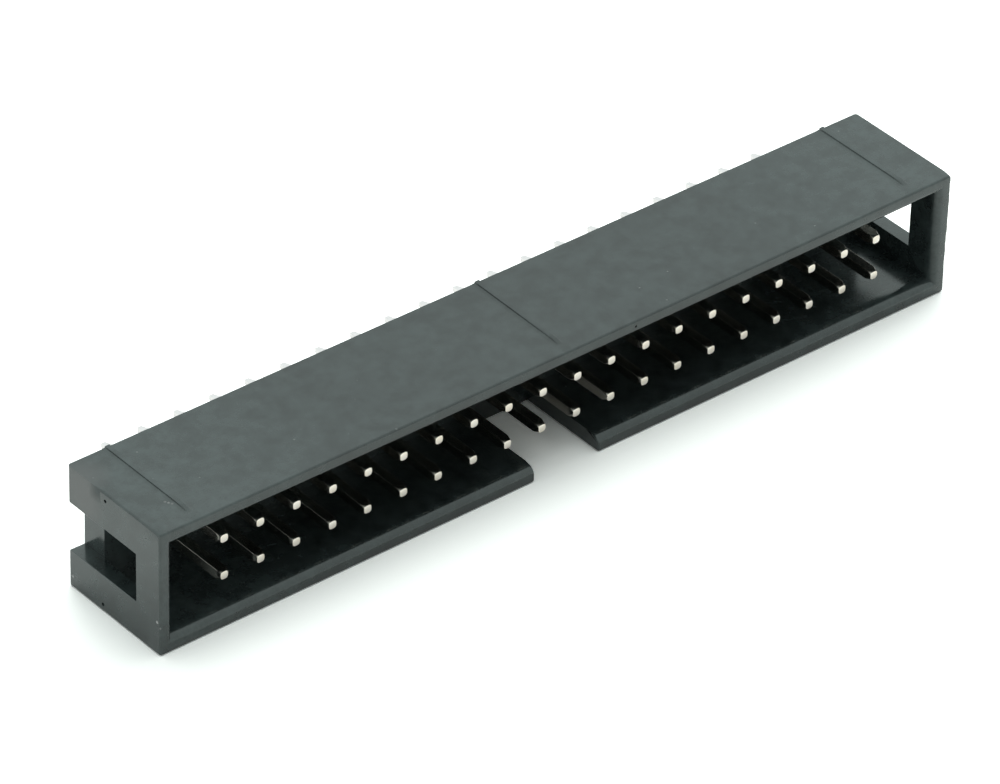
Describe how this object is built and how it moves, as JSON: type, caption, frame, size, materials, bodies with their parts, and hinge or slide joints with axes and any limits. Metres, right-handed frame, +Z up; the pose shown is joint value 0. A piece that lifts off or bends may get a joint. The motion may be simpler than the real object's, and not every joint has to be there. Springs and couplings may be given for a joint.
{
  "type": "box header",
  "caption": "Shrouded box header with a polarising slot, windowed end walls and square through-board contacts, lying on its keyed long wall.",
  "frame": {"origin": "centre of the bounding rectangle of the face it lies on, on the supporting surface", "axes": "+X along the contact rows, +Y from the mating rim towards the solder tails, +Z up from the keyed wall towards the ribbed wall"},
  "size_m": [0.0582, 0.012, 0.0084],
  "materials": {
    "shroud": "moulded, satin, faintly glossy",
    "contact": "thin gold plating over drawn square wire"
  },
  "bodies": {
    "root": {"housing": "shroud", "contact_01": "contact", "contact_02": "contact", "contact_03": "contact", "contact_04": "contact", "contact_05": "contact", "contact_06": "contact", "contact_07": "contact", "contact_08": "contact", "contact_09": "contact", "contact_10": "contact", "contact_11": "contact", "contact_12": "contact", "contact_13": "contact", "contact_14": "contact", "contact_15": "contact", "contact_16": "contact", "contact_17": "contact", "contact_18": "contact", "contact_19": "contact", "contact_20": "contact", "contact_21": "contact", "contact_22": "contact", "contact_23": "contact", "contact_24": "contact", "contact_25": "contact", "contact_26": "contact", "contact_27": "contact", "contact_28": "contact", "contact_29": "contact", "contact_30": "contact", "contact_31": "contact", "contact_32": "contact", "contact_33": "contact", "contact_34": "contact", "contact_35": "contact", "contact_36": "contact", "contact_37": "contact", "contact_38": "contact", "contact_39": "contact", "contact_40": "contact"}
  },
  "joints": []
}
